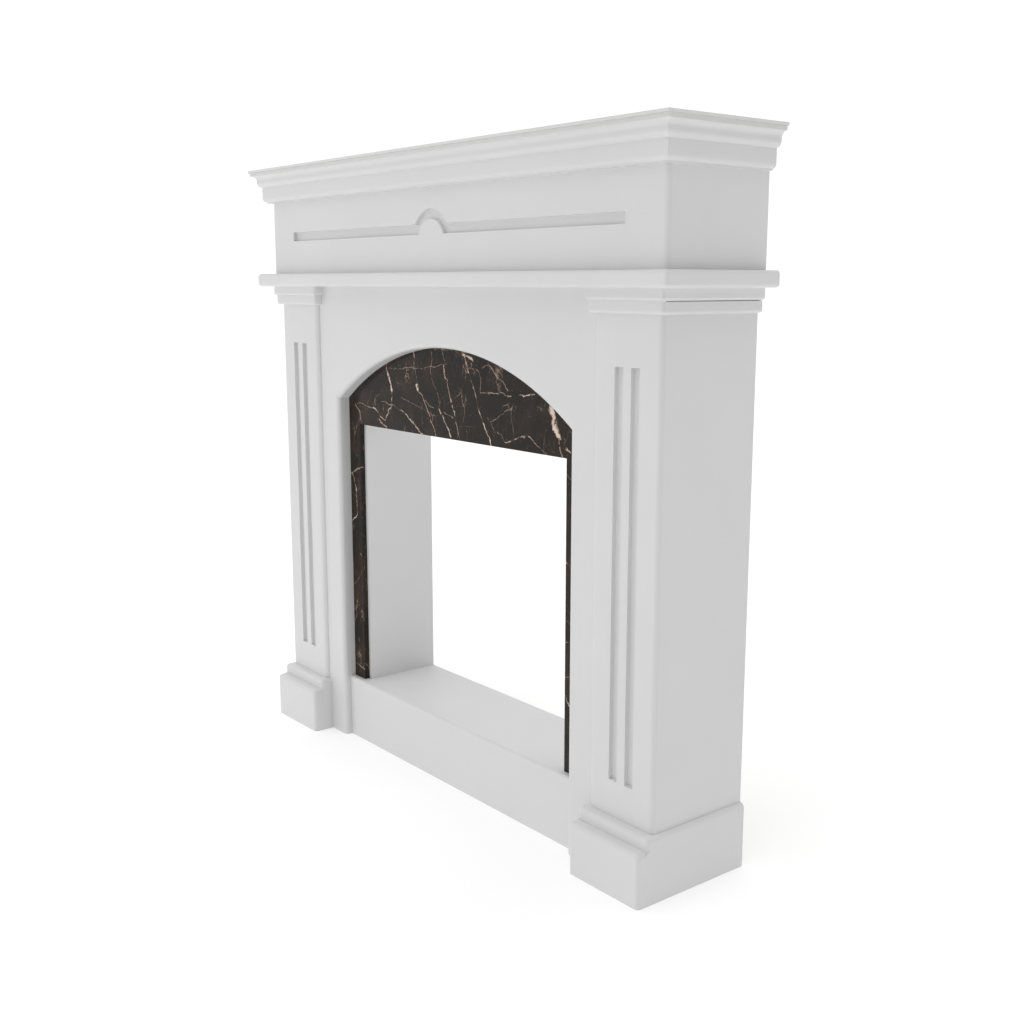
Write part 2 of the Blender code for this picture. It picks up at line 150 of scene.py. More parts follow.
# Veins of the marble as seen from the front: half width in mm, strength, and points across and up in cm
VEINS = (
    (1.5, 0.80, ((-24.0, 89.0), (-23.5, 85.5))),
    (3.4, 0.95, ((-23.5, 86.5), (-22.0, 83.0))),
    (2.0, 0.88, ((-22.0, 83.5), (-22.5, 80.0), (-25.0, 76.5), (-28.0, 78.0), (-30.0, 79.0))),
    (1.4, 0.62, ((-30.0, 79.0), (-33.5, 79.5), (-37.0, 79.0))),
    (1.0, 0.45, ((-30.0, 79.0), (-28.5, 81.5), (-25.0, 83.5))),
    (1.4, 0.66, ((-26.0, 80.5), (-21.0, 80.0), (-17.0, 78.5))),
    (2.0, 0.85, ((-17.0, 78.5), (-13.5, 76.5), (-10.0, 74.5))),
    (4.2, 0.55, ((-13.8, 92.5), (-13.3, 91.0))),
    (1.3, 0.55, ((-13.5, 91.5), (-13.0, 88.0), (-12.5, 85.5))),
    (4.2, 0.98, ((-12.6, 85.2), (-12.2, 84.2))),
    (1.6, 0.72, ((-12.2, 84.2), (-10.5, 82.5), (-7.5, 79.0), (-5.5, 75.0))),
    (1.3, 0.70, ((-9.5, 82.0), (-6.5, 80.5))),
    (1.2, 0.42, ((-18.5, 82.0), (-13.5, 81.0), (-8.0, 79.5), (-4.5, 79.0))),
    (1.4, 0.48, ((-7.0, 92.5), (-6.5, 90.0), (-7.0, 87.0), (-5.0, 83.5), (-4.0, 81.5))),
    (2.4, 0.86, ((-4.0, 81.0), (-2.5, 78.0), (-0.5, 75.5))),
    (1.4, 0.50, ((-3.5, 93.0), (-2.0, 90.5))),
    (3.0, 0.88, ((-2.8, 89.5), (-1.5, 87.0))),
    (1.6, 0.70, ((-1.5, 86.5), (0.0, 83.0))),
    (2.6, 0.92, ((0.0, 83.0), (1.0, 79.5))),
    (1.7, 0.76, ((1.0, 79.5), (2.0, 77.5), (3.0, 74.5))),
    (1.2, 0.60, ((-2.5, 80.0), (0.5, 79.0))),
    (1.7, 0.82, ((4.5, 92.0), (5.5, 89.0))),
    (2.2, 0.98, ((5.5, 89.0), (8.0, 85.0), (9.0, 82.0), (11.0, 78.0), (13.5, 74.5))),
    (3.6, 0.90, ((4.0, 92.3), (7.5, 91.3))),
    (1.2, 0.50, ((7.5, 91.0), (9.5, 88.0), (10.0, 85.0), (13.0, 85.0))),
    (1.5, 0.72, ((12.5, 85.2), (16.5, 85.5), (19.5, 85.0))),
    (2.3, 0.85, ((21.5, 85.3), (26.5, 85.5))),
    (1.5, 0.68, ((12.0, 91.0), (14.5, 89.0), (18.5, 86.0))),
    (1.3, 0.60, ((10.0, 90.0), (13.0, 90.5))),
    (1.1, 0.48, ((12.5, 79.5), (19.5, 82.5))),
    (1.2, 0.50, ((12.0, 80.5), (14.5, 77.5))),
    (2.0, 0.80, ((18.0, 76.0), (24.5, 78.0), (26.5, 76.5))),
    (1.4, 0.62, ((26.5, 76.5), (30.5, 74.5))),
    (9.0, 1.00, ((31.3, 84.0), (32.3, 81.5), (32.0, 80.0))),
    (9.0, 1.00, ((32.0, 80.0), (33.6, 78.0))),
    (1.8, 0.75, ((33.5, 78.0), (34.8, 74.5))),
    (2.6, 0.85, ((35.8, 76.6), (37.2, 75.8))),
    (1.2, 0.50, ((15.5, 77.5), (18.0, 76.0))),
    (1.9, 0.72, ((-37.5, 79.0), (-35.5, 77.0), (-34.0, 73.5))),
    (1.0, 0.45, ((-36.0, 78.0), (-35.5, 75.5))),
    (4.6, 0.66, ((-27.5, 76.3), (-24.5, 75.0))),
    (1.0, 0.36, ((1.0, 81.5), (6.5, 82.5))),
    (1.0, 0.36, ((3.0, 77.5), (8.0, 78.0))),
    (1.5, 0.52, ((-23.0, 88.0), (-14.5, 89.0), (-10.0, 88.5), (-4.5, 89.5), (-1.0, 90.0))),
    (1.2, 0.45, ((-20.0, 90.5), (-19.5, 88.5))),
    (2.6, 0.42, ((-6.0, 93.2), (8.0, 92.8))),
    (3.6, 0.62, ((-40.0, 63.0), (-37.5, 64.0), (-35.5, 64.5))),
    (2.4, 0.90, ((-39.5, 63.0), (-37.5, 59.5), (-37.3, 53.5), (-39.8, 51.5))),
    (9.0, 0.22, ((-37.0, 62.0), (-36.5, 60.0))),
    (2.2, 0.62, ((-36.5, 44.5), (-36.0, 44.0))),
    (1.3, 0.52, ((-39.8, 36.5), (-36.0, 40.5))),
    (1.3, 0.50, ((-39.8, 30.5), (-37.5, 32.5))),
    (1.6, 0.60, ((-38.5, 24.0), (-38.0, 23.0))),
    (1.8, 0.65, ((-37.8, 20.5), (-37.2, 19.5))),
    (1.8, 0.60, ((-39.0, 17.5), (-36.2, 16.5))),
    (2.4, 0.80, ((35.9, 55.3), (37.5, 54.5))),
    (1.4, 0.60, ((35.8, 44.3), (38.5, 43.8))),
    (1.4, 0.55, ((35.8, 40.2), (38.5, 40.4))),
    (1.4, 0.55, ((35.8, 33.0), (38.5, 33.3))),
    (2.2, 0.75, ((35.8, 29.7), (37.5, 27.5))),
    (1.2, 0.42, ((35.5, 72.0), (37.5, 70.5))),
)


def length(name, description, default, least=0.0, digits=4):
    """A length that the user can change."""
    return FloatProperty(
        name=name, description=description, default=default, min=least,
        unit="LENGTH", subtype="DISTANCE", precision=digits)


def colour(name, description, default):
    """A colour that the user can change."""
    return FloatVectorProperty(
        name=name, description=description, default=default,
        size=3, min=0.0, max=1.0, subtype="COLOR")


def share(name, description, default, least=0.0, most=1.0):
    """A share from none to all that the user can change."""
    return FloatProperty(
        name=name, description=description, default=default, min=least, max=most, subtype="FACTOR")


class MantelSizes(PropertyGroup):
    """Rounds, grooves and joints of the painted woodwork."""
    seam: length("Seam", "Gap left between two boards that meet", 0.00003, digits=5)
    curve_steps: IntProperty(
        name="Curve steps", description="Flats in a quarter turn of a moulding",
        default=14, min=3, max=48)
    round_steps: IntProperty(
        name="Round steps", description="Flats around a rounded edge", default=10, min=2, max=24)
    arch_steps: IntProperty(
        name="Arch steps", description="Flats along the arch", default=96, min=12, max=256)
    lip_round: length("Lip round", "Radius along the top board's lip", 0.0012)
    cove_radius: length("Cove radius", "Radius of the crown's cove", 0.0114, least=0.001)
    ovolo_radius: length("Ovolo radius", "Radius of the crown's ovolo", 0.0114, least=0.001)
    bullnose_radius: length("Bullnose radius", "Radius under the crown's fascia", 0.0089, least=0.001)
    frieze_round: length("Frieze round", "Radius on the frieze's corners", 0.0095)
    shelf_round: length("Shelf round", "Radius along the mantel shelf's edges", 0.0072)
    capital_round: length("Capital round", "Radius under each capital board", 0.0056)
    pilaster_round: length("Pilaster round", "Radius on the pilasters' corners", 0.0095)
    plinth_round: length("Plinth round", "Radius on the plinths' edges", 0.0084)
    arch_round: length("Arch round", "Radius around the arched opening", 0.0095)
    riser_round: length("Riser round", "Radius along the hearth's front edge", 0.0050)
    marble_arris: length("Marble arris", "Polished arris around the marble", 0.0007)
    routed_depth: length(
        "Routed depth", "Depth of the flutes and of the frieze's groove", 0.0085, least=0.001)
    routed_lip: length(
        "Routed lip", "Softened edge of a flute or groove", 0.0006, least=0.0001)
    routed_fillet: length(
        "Routed fillet", "Small radius at the bottom of a flute or groove", 0.0008, least=0.0001)
    flute_width: length("Flute width", "Width of a flute", 0.0206, least=0.002)
    flute_spacing: length(
        "Flute spacing", "Distance from one flute's middle to the next", 0.0400, least=0.004)


class MantelFinish(PropertyGroup):
    """Colours and gloss of the paint and the stone."""
    paint_colour: colour("Paint", "Colour of the satin paint", (0.74, 0.74, 0.74))
    paint_unevenness: share("Paint unevenness", "How much the paint's tone varies", 0.022)
    paint_roughness: share("Paint roughness", "How dull the satin paint is", 0.44, least=0.05, most=0.9)
    paint_relief: length("Paint relief", "Height of the coat's pebbles", 0.00003, digits=5)
    primer_colour: colour("Primer", "Colour of the primed backs of the boards", (0.62, 0.61, 0.58))
    board_colour: colour("Board", "Colour of the bare board under the primer", (0.42, 0.31, 0.21))
    stone_ground: colour("Stone ground", "Darkest colour of the marble", (0.0255, 0.0220, 0.0192))
    stone_cloud: colour("Stone cloud", "Brown of the marble's clouds", (0.050, 0.034, 0.026))
    vein_edge: colour("Vein edge", "Brown along a vein", (0.110, 0.075, 0.058))
    vein_colour: colour("Vein", "Tan of the thin veins", (0.36, 0.26, 0.20))
    vein_core: colour("Vein core", "Cream at the middle of a broad vein", (0.78, 0.63, 0.53))
    stone_roughness: share("Stone roughness", "How dull the polished marble is", 0.15, most=0.9)
    stone_gloss: share("Stone gloss", "How much light the marble's polish throws back", 0.09)


class MantelStudio(PropertyGroup):
    """Floor, surroundings and lamps."""
    floor_colour: colour("Floor", "Colour of the floor", (0.83, 0.83, 0.83))
    floor_glow: FloatProperty(
        name="Floor glow", description="How much light the floor gives off itself",
        default=0.317, min=0.0)
    sky_power: FloatProperty(
        name="Surroundings", description="How strongly the white surroundings light the object",
        default=1.0, min=0.0)
    key_power: FloatProperty(
        name="Key lamp", description="Power of the soft lamp at the front left", default=3.7, min=0.0,
        unit="POWER")


# Shapes

def board(low, high):
    """A rectangular board, from its lowest and highest corners."""
    low = Vector(low)
    high = Vector(high)
    shape = bmesh.new()
    place = Matrix.LocRotScale((low + high) / 2, None, high - low)
    bmesh.ops.create_cube(shape, size=1.0, matrix=place)
    return shape


def extruded(outline, axis, start, end):
    """Pulls an outline along an axis. Its points are on the other two axes, in X, Y, Z order."""
    shape = bmesh.new()
    corners = []
    for point in outline:
        place = list(point)
        place.insert(axis, start)
        corners.append(shape.verts.new(place))
    face = shape.faces.new(corners)
    grown = bmesh.ops.extrude_face_region(shape, geom=[face])
    travel = Vector((0.0, 0.0, 0.0))
    travel[axis] = end - start
    moved = [part for part in grown["geom"] if isinstance(part, bmesh.types.BMVert)]
    bmesh.ops.translate(shape, verts=moved, vec=travel)
    bmesh.ops.recalc_face_normals(shape, faces=shape.faces)
    return shape


def lofted(rings):
    """A closed solid through a row of rings, which have equally many corners."""
    shape = bmesh.new()
    loops = []
    for ring in rings:
        corners = [shape.verts.new(point) for point in ring]
        loops.append([shape.edges.new(pair) for pair in zip(corners, corners[1:] + corners[:1])])
    for nearer, farther in zip(loops, loops[1:]):
        bmesh.ops.bridge_loops(shape, edges=nearer + farther)
    for end in (loops[0], loops[-1]):
        bmesh.ops.edgeloop_fill(shape, edges=end)
    bmesh.ops.recalc_face_normals(shape, faces=shape.faces)
    return shape


def edges_on(shape, *planes):
    """The edges that lie on every one of the planes, each given as an axis and a value."""
    return [
        edge for edge in shape.edges
        if all(abs(end.co[axis] - value) < TOUCH for end in edge.verts for axis, value in planes)
    ]


def rounded(shape, edges, radius, steps):
    """Rounds edges to a radius."""
    bmesh.ops.bevel(
        shape, geom=edges, offset=radius, offset_type="OFFSET", segments=steps,
        profile=0.5, affect="EDGES", clamp_overlap=True, material=-1,
    )
    return shape


def front_corners(shape, low, high):
    """The two upright edges at a board's front."""
    return [edge for end in (low.x, high.x) for edge in edges_on(shape, (X, end), (Y, low.y))]


def end_edges(shape, low, high, height):
    """The edges at a board's two ends that lie at a height."""
    return [edge for end in (low.x, high.x) for edge in edges_on(shape, (X, end), (Z, height))]


def cut_off(shape, point, normal):
    """Cuts away what lies past a plane, on its normal's side, and closes the cut."""
    everything = shape.verts[:] + shape.edges[:] + shape.faces[:]
    bmesh.ops.bisect_plane(
        shape, geom=everything, dist=TOUCH, plane_co=point, plane_no=normal, clear_outer=True)
    bmesh.ops.holes_fill(shape, edges=shape.edges, sides=0)


def weld(shape):
    """Merges the corners that fall together, and takes out the slivers that leaves."""
    bmesh.ops.remove_doubles(shape, verts=shape.verts, dist=MERGE)
    bmesh.ops.dissolve_degenerate(shape, dist=MERGE, edges=shape.edges)


def arc(centre, radius, start, end, steps):
    """Points on an arc, from one angle to another in radians."""
    points = []
    for step in range(steps + 1):
        angle = start + (end - start) * step / steps
        points.append((centre[0] + radius * math.cos(angle), centre[1] + radius * math.sin(angle)))
    return points


def routed(outline_at, face, sizes):
    """A router's cut into a front face: a soft lip, straight walls and a small fillet round its floor.

    outline_at gives the cut's outline in X and Z, grown by a distance.
    """
    lip = sizes.routed_lip
    fillet = sizes.routed_fillet
    angles = [math.pi / 2 * step / ROUTED_STEPS for step in range(ROUTED_STEPS + 1)]
    stations = [(-OVERCUT, lip)]
    stations += [(lip - lip * math.cos(angle), lip - lip * math.sin(angle)) for angle in angles]
    for angle in angles:
        depth = sizes.routed_depth - fillet + fillet * math.sin(angle)
        stations.append((depth, fillet * math.cos(angle) - fillet))
    rings = []
    for depth, grow in stations:
        rings.append([(x, face + depth, z) for x, z in outline_at(grow)])
    return lofted(rings)


# Objects

def remove_old(name):
    """Takes away a piece of that name, so that an operator can run again."""
    old = bpy.data.objects.get(name)
    if old is not None:
        bpy.data.objects.remove(old, do_unlink=True)


def add_object(name, shape):
    """Puts a bmesh into the scene as an object and frees it."""
    remove_old(name)
    weld(shape)
    bmesh.ops.recalc_face_normals(shape, faces=shape.faces)
    mesh = bpy.data.meshes.new(name)
    shape.to_mesh(mesh)
    shape.free()
    item = bpy.data.objects.new(name, mesh)
    bpy.context.scene.collection.objects.link(item)
    return item


def add_cut(item, shape):
    """Cuts a shape out of an object."""
    cutter = add_object(item.name + "_cutter", shape)
    modifier = item.modifiers.new("cut", "BOOLEAN")
    modifier.operation = "DIFFERENCE"
    modifier.solver = "EXACT"
    modifier.object = cutter
    settle(item)
    bpy.data.objects.remove(cutter, do_unlink=True)
    cut = bmesh.new()
    cut.from_mesh(item.data)
    weld(cut)
    cut.to_mesh(item.data)
    cut.free()


def settle(item):
    """Applies an object's modifiers to its mesh."""
    seen = item.evaluated_get(bpy.context.evaluated_depsgraph_get())
    mesh = bpy.data.meshes.new_from_object(seen)
    item.modifiers.clear()
    old = item.data
    item.data = mesh
    bpy.data.meshes.remove(old)


def finish_piece(item, node, materials):
    """Shades a piece, gives it its materials, and puts it in the place of its CAD node."""
    mesh = item.data
    mesh.shade_smooth()
    mesh.set_sharp_from_angle(angle=EDGE_ANGLE)
    modifier = item.modifiers.new("planar shading", "WEIGHTED_NORMAL")
    modifier.keep_sharp = True
    modifier.weight = 50
    settle(item)
    item.data.name = item.name
    item.data.materials.clear()
    for material in materials:
        item.data.materials.append(material)
    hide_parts(node)
    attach(item, BODY)


def prime_back(item, *hidden):
    """Gives the primer to the faces that look into the wall or into a box.

    hidden are directions, and the primer is the piece's second material.
    """
    directions = [Vector((0.0, 1.0, 0.0))] + [Vector(direction) for direction in hidden]
    for face in item.data.polygons:
        if any(face.normal.dot(direction) > SQUARE_ON for direction in directions):
            face.material_index = 1


def painted(name, shape, hidden=(), cuts=()):
    """A painted board in the place of the CAD node of that name."""
    item = add_object("painted_" + name, shape)
    for cut in cuts:
        add_cut(item, cut)
    finish_piece(item, name, (satin_paint(), primer()))
    prime_back(item, *hidden)


def met(node, sizes, **sides):
    """A CAD node's corners, with the sides named grown to meet the neighbours there.

    A side is low_x, high_z and so on, and its value is the node that it meets.
    """
    low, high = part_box(node)
    for side, neighbour in sides.items():
        end, axis = side.split("_")
        index = "xyz".index(axis)
        other_low, other_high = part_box(neighbour)
        if end == "low":
            low[index] = other_high[index] + sizes.seam
        else:
            high[index] = other_low[index] - sizes.seam
    return low, high


def back_corners(node):
    """The corners of a CAD node's back face."""
    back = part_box(node)[1].y
    corners = [corner.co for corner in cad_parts[node].data.vertices]
    return [corner for corner in corners if abs(corner.y - back) < TOUCH]


def opening_side(node):
    """Distance from the middle to an opening's side, at the back face's foot."""
    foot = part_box(node)[0].z + OVERCUT
    return min(abs(corner.x) for corner in back_corners(node) if corner.z < foot)


def opening_top(node):
    """Height of an opening's top, at the back face."""
    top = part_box(node)[1].z
    return max(corner.z for corner in back_corners(node) if corner.z < top - OVERCUT)


# Materials

def start_group(name, places, numbers, outputs):
    """A new shader node group that takes places, and numbers with their defaults, and puts out numbers.

    Gives back the group and its two ends. The ends are None where the group exists already.
    """
    if name in bpy.data.node_groups:
        return bpy.data.node_groups[name], None, None
    group = bpy.data.node_groups.new(name, "ShaderNodeTree")
    sockets = group.interface
    for socket in places:
        sockets.new_socket(socket, in_out="INPUT", socket_type="NodeSocketVector")
    for socket, default in numbers.items():
        added = sockets.new_socket(socket, in_out="INPUT", socket_type="NodeSocketFloat")
        added.default_value = default
    for socket in outputs:
        sockets.new_socket(socket, in_out="OUTPUT", socket_type="NodeSocketFloat")
    return group, group.nodes.new("NodeGroupInput"), group.nodes.new("NodeGroupOutput")


def plug(tree, socket, value):
    """Links a socket to another, or sets it to a value."""
    if isinstance(value, bpy.types.NodeSocket):
        tree.links.new(value, socket)
    else:
        socket.default_value = value


def maths(tree, operation, *values):
    """A Math node's result."""
    node = tree.nodes.new("ShaderNodeMath")
    node.operation = operation
    for socket, value in zip(node.inputs, values):
        plug(tree, socket, value)
    return node.outputs[0]


def vectors(tree, operation, *values, scale=None):
    """A Vector Math node's result, which is a number for a dot product."""
    node = tree.nodes.new("ShaderNodeVectorMath")
    node.operation = operation
    for socket, value in zip(node.inputs, values):
        plug(tree, socket, value)
    if scale is not None:
        plug(tree, node.inputs["Scale"], scale)
    return node.outputs["Value" if operation == "DOT_PRODUCT" else "Vector"]


def noise(tree, place, scale, detail, roughness, output="Fac"):
    """A Noise Texture's output."""
    node = tree.nodes.new("ShaderNodeTexNoise")
    plug(tree, node.inputs["Vector"], place)
    plug(tree, node.inputs["Scale"], scale)
    plug(tree, node.inputs["Detail"], detail)
    plug(tree, node.inputs["Roughness"], roughness)
    return node.outputs[output]


def stepped(tree, value, low, high, to_low=0.0, to_high=1.0):
    """A value taken smoothly from one range to another."""
    node = tree.nodes.new("ShaderNodeMapRange")
    node.interpolation_type = "SMOOTHSTEP"
    given = {"Value": value, "From Min": low, "From Max": high, "To Min": to_low, "To Max": to_high}
    for name, number in given.items():
        plug(tree, node.inputs[name], number)
    return node.outputs["Result"]


def mixed(tree, share, first, second):
    """Two colours mixed."""
    node = tree.nodes.new("ShaderNodeMix")
    node.data_type = "RGBA"
    plug(tree, node.inputs[0], share)
    plug(tree, node.inputs[6], first)
    plug(tree, node.inputs[7], second)
    return node.outputs[2]


def relief(tree, height, distance):
    """A Bump node's normal, at full strength."""
    node = tree.nodes.new("ShaderNodeBump")
    plug(tree, node.inputs["Height"], height)
    plug(tree, node.inputs["Distance"], distance)
    plug(tree, node.inputs["Strength"], 1.0)
    return node.outputs["Normal"]


def opaque(colour):
    """A colour with its alpha."""
    return (*colour, 1.0)


def mottle_group():
    """Slow uneven tone, and a finer uneven gloss, of a coat of paint."""
    group, start, end = start_group(
        "coat mottle", ("Place",), {"Patch Scale": 5.0, "Fine Scale": 45.0}, ("Tone", "Gloss"))
    if start is None:
        return group
    slow = noise(group, start.outputs["Place"], start.outputs["Patch Scale"], 3.0, 0.55)
    fine = noise(group, start.outputs["Place"], start.outputs["Fine Scale"], 3.0, 0.6)
    plug(group, end.inputs["Tone"], stepped(group, slow, 0.3, 0.7))
    both = maths(group, "MULTIPLY_ADD", slow, 0.4, maths(group, "MULTIPLY", fine, 0.6))
    plug(group, end.inputs["Gloss"], stepped(group, both, 0.3, 0.7))
    return group


def peel_group():
    """The small pebbled relief that a sprayed or rolled coat dries with, over a slower waviness."""
    group, start, end = start_group(
        "coat relief", ("Place",), {"Pebble Scale": 420.0, "Wave Scale": 22.0, "Wave Height": 1.0},
        ("Height",))
    if start is None:
        return group
    pebbles = noise(group, start.outputs["Place"], start.outputs["Pebble Scale"], 2.0, 0.45)
    waves = noise(group, start.outputs["Place"], start.outputs["Wave Scale"], 1.0, 0.4)
    plug(group, end.inputs["Height"], maths(
        group, "MULTIPLY_ADD", waves, start.outputs["Wave Height"], pebbles))
    return group


def placed_group(tree, group, **inputs):
    """A node group placed in a tree. Words of a socket's name are joined by underscores."""
    node = tree.nodes.new("ShaderNodeGroup")
    node.node_tree = group
    for name, value in inputs.items():
        plug(tree, node.inputs[name.replace("_", " ")], value)
    return node


def new_material(name):
    """A new material, its node tree and its Principled shader.

    Where the material exists already, the tree and the shader are None.
    """
    found = bpy.data.materials.get(name)
    if found is not None:
        return found, None, None
    material = bpy.data.materials.new(name)
    material.use_nodes = True
    return material, material.node_tree, material.node_tree.nodes["Principled BSDF"]


def object_place(tree):
    """The Object coordinates, which are the frame's own, in metres."""
    return tree.nodes.new("ShaderNodeTexCoord").outputs["Object"]


def satin_paint():
    """Satin white paint on board: nearly even, with a pebbled coat that only shows in the gloss."""
    material, tree, shader = new_material("satin white paint")
    if tree is None:
        return material
    finish = bpy.context.scene.mantel_finish
    place = object_place(tree)
    mottle = placed_group(tree, mottle_group(), Place=place, Patch_Scale=4.5, Fine_Scale=38.0)
    low = [part * (1.0 - finish.paint_unevenness) for part in finish.paint_colour]
    plug(tree, shader.inputs["Base Color"], mixed(
        tree, mottle.outputs["Tone"], opaque(low), opaque(finish.paint_colour)))
    sheen, dull = finish.paint_roughness - 0.04, finish.paint_roughness + 0.05
    gloss = stepped(tree, mottle.outputs["Gloss"], 0.0, 1.0, sheen, dull)
    plug(tree, shader.inputs["Roughness"], gloss)
    coat = placed_group(
        tree, peel_group(), Place=place, Pebble_Scale=430.0, Wave_Scale=19.0, Wave_Height=2.0)
    plug(tree, shader.inputs["Normal"], relief(tree, coat.outputs["Height"], finish.paint_relief))
    return material


def primer():
    """One thin coat of primer on the hidden faces, through which the board shows here and there."""
    material, tree, shader = new_material("thin primer on board")
    if tree is None:
        return material
    finish = bpy.context.scene.mantel_finish
    place = object_place(tree)
    mottle = placed_group(tree, mottle_group(), Place=place, Patch_Scale=9.0, Fine_Scale=160.0)
    upright = vectors(tree, "MULTIPLY", place, (1.0, 1.0, 0.15))
    thin = noise(tree, upright, 60.0, 4.0, 0.65)
    thin = maths(tree, "MULTIPLY_ADD", mottle.outputs["Tone"], 0.12, thin)
    bare = stepped(tree, thin, 0.50, 0.78, 0.0, 0.42)
    low = [part * 0.94 for part in finish.primer_colour]
    coat = mixed(tree, mottle.outputs["Gloss"], opaque(low), opaque(finish.primer_colour))
    plug(tree, shader.inputs["Base Color"], mixed(tree, bare, coat, opaque(finish.board_colour)))
    plug(tree, shader.inputs["Roughness"], stepped(tree, mottle.outputs["Gloss"], 0.0, 1.0, 0.62, 0.78))
    fibre = placed_group(
        tree, peel_group(), Place=place, Pebble_Scale=700.0, Wave_Scale=90.0, Wave_Height=0.6)
    plug(tree, shader.inputs["Normal"], relief(tree, fibre.outputs["Height"], finish.paint_relief * 2))
    return material


def vein_group():
    """One straight stroke of a vein, a soft line, laid over the strokes before it.

    Along and Across are directions of length one. Middle and Offset are the stroke's place on them.
    The renderer holds few values at once, so the distances are worked out as single numbers.
    """
    group, start, end = start_group(
        "vein stroke", ("Place", "Along", "Across"),
        {"Breadth": 1.0, "Before": 0.0, "Middle": 0.0, "Reach": 0.0, "Offset": 0.0, "Width": 0.002,
         "Strength": 1.0},
        ("Mask",))
    if start is None:
        return group
    given = start.outputs
    along = vectors(group, "DOT_PRODUCT", given["Place"], given["Along"])
    along = maths(group, "SUBTRACT", along, given["Middle"])
    past = maths(group, "SUBTRACT", maths(group, "ABSOLUTE", along), given["Reach"])
    past = maths(group, "MAXIMUM", past, 0.0)
    aside = vectors(group, "DOT_PRODUCT", given["Place"], given["Across"])
    aside = maths(group, "SUBTRACT", aside, given["Offset"])
    away = maths(group, "MULTIPLY_ADD", past, past, maths(group, "MULTIPLY", aside, aside))
    away = maths(group, "DIVIDE", maths(group, "SQRT", away), given["Width"])
    away = maths(group, "DIVIDE", away, given["Breadth"])
    stroke = stepped(group, away, 0.22, 0.95, 1.0, 0.0)
    stroke = maths(group, "MULTIPLY", stroke, given["Strength"])
    plug(group, end.inputs["Mask"], maths(group, "MAXIMUM", given["Before"], stroke))
    return group


def cell_edges(tree, place, scale, width, strength):
    """A net of thin lines, which are the borders of Voronoi cells."""
    node = tree.nodes.new("ShaderNodeTexVoronoi")
    node.feature = "DISTANCE_TO_EDGE"
    plug(tree, node.inputs["Scale"], scale)
    plug(tree, node.inputs["Vector"], place)
    return stepped(tree, node.outputs["Distance"], 0.0, width, strength, 0.0)


def wander(tree, place, scale, reach):
    """How far a place is pushed about, by noise of its own."""
    pushed = noise(tree, place, scale, 3.0, 0.6, "Color")
    return vectors(tree, "SCALE", vectors(tree, "SUBTRACT", pushed, (0.5, 0.5, 0.5)), scale=reach)


